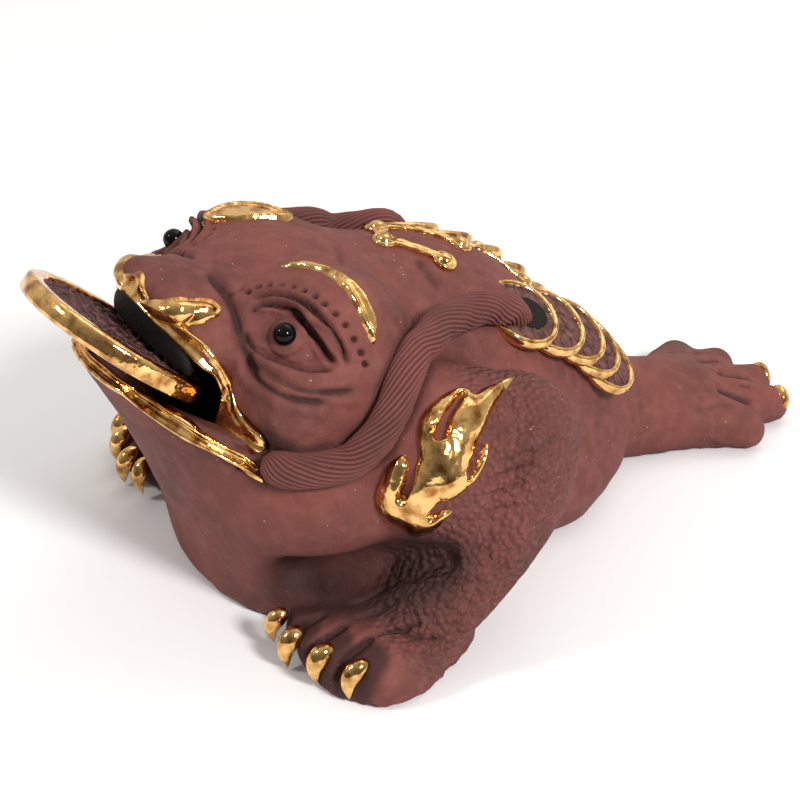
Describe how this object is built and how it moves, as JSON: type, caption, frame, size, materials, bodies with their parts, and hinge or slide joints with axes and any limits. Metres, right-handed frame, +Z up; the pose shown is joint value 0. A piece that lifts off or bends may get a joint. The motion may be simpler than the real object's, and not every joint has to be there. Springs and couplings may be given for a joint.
{
  "type": "money toad figure",
  "caption": "Three-legged money toad figure in fired clay with a cash coin resting in its open mouth and ropes of coins along its back.",
  "frame": {"origin": "on the ground under the middle of the bounding box", "axes": "+Z up; the toad faces -Y; its left side is +X"},
  "size_m": [0.1042, 0.1544, 0.0634],
  "materials": {
    "clay": "unglazed fired purple-brown clay, with gold lustre painted on the raised ornament",
    "gold": "polished gold lustre over fired clay, darker rough faces",
    "bead": "polished black glass bead"
  },
  "bodies": {
    "root": {"toad": "clay", "mouth_coin": "gold", "eye_left": "bead", "eye_right": "bead"}
  },
  "joints": []
}
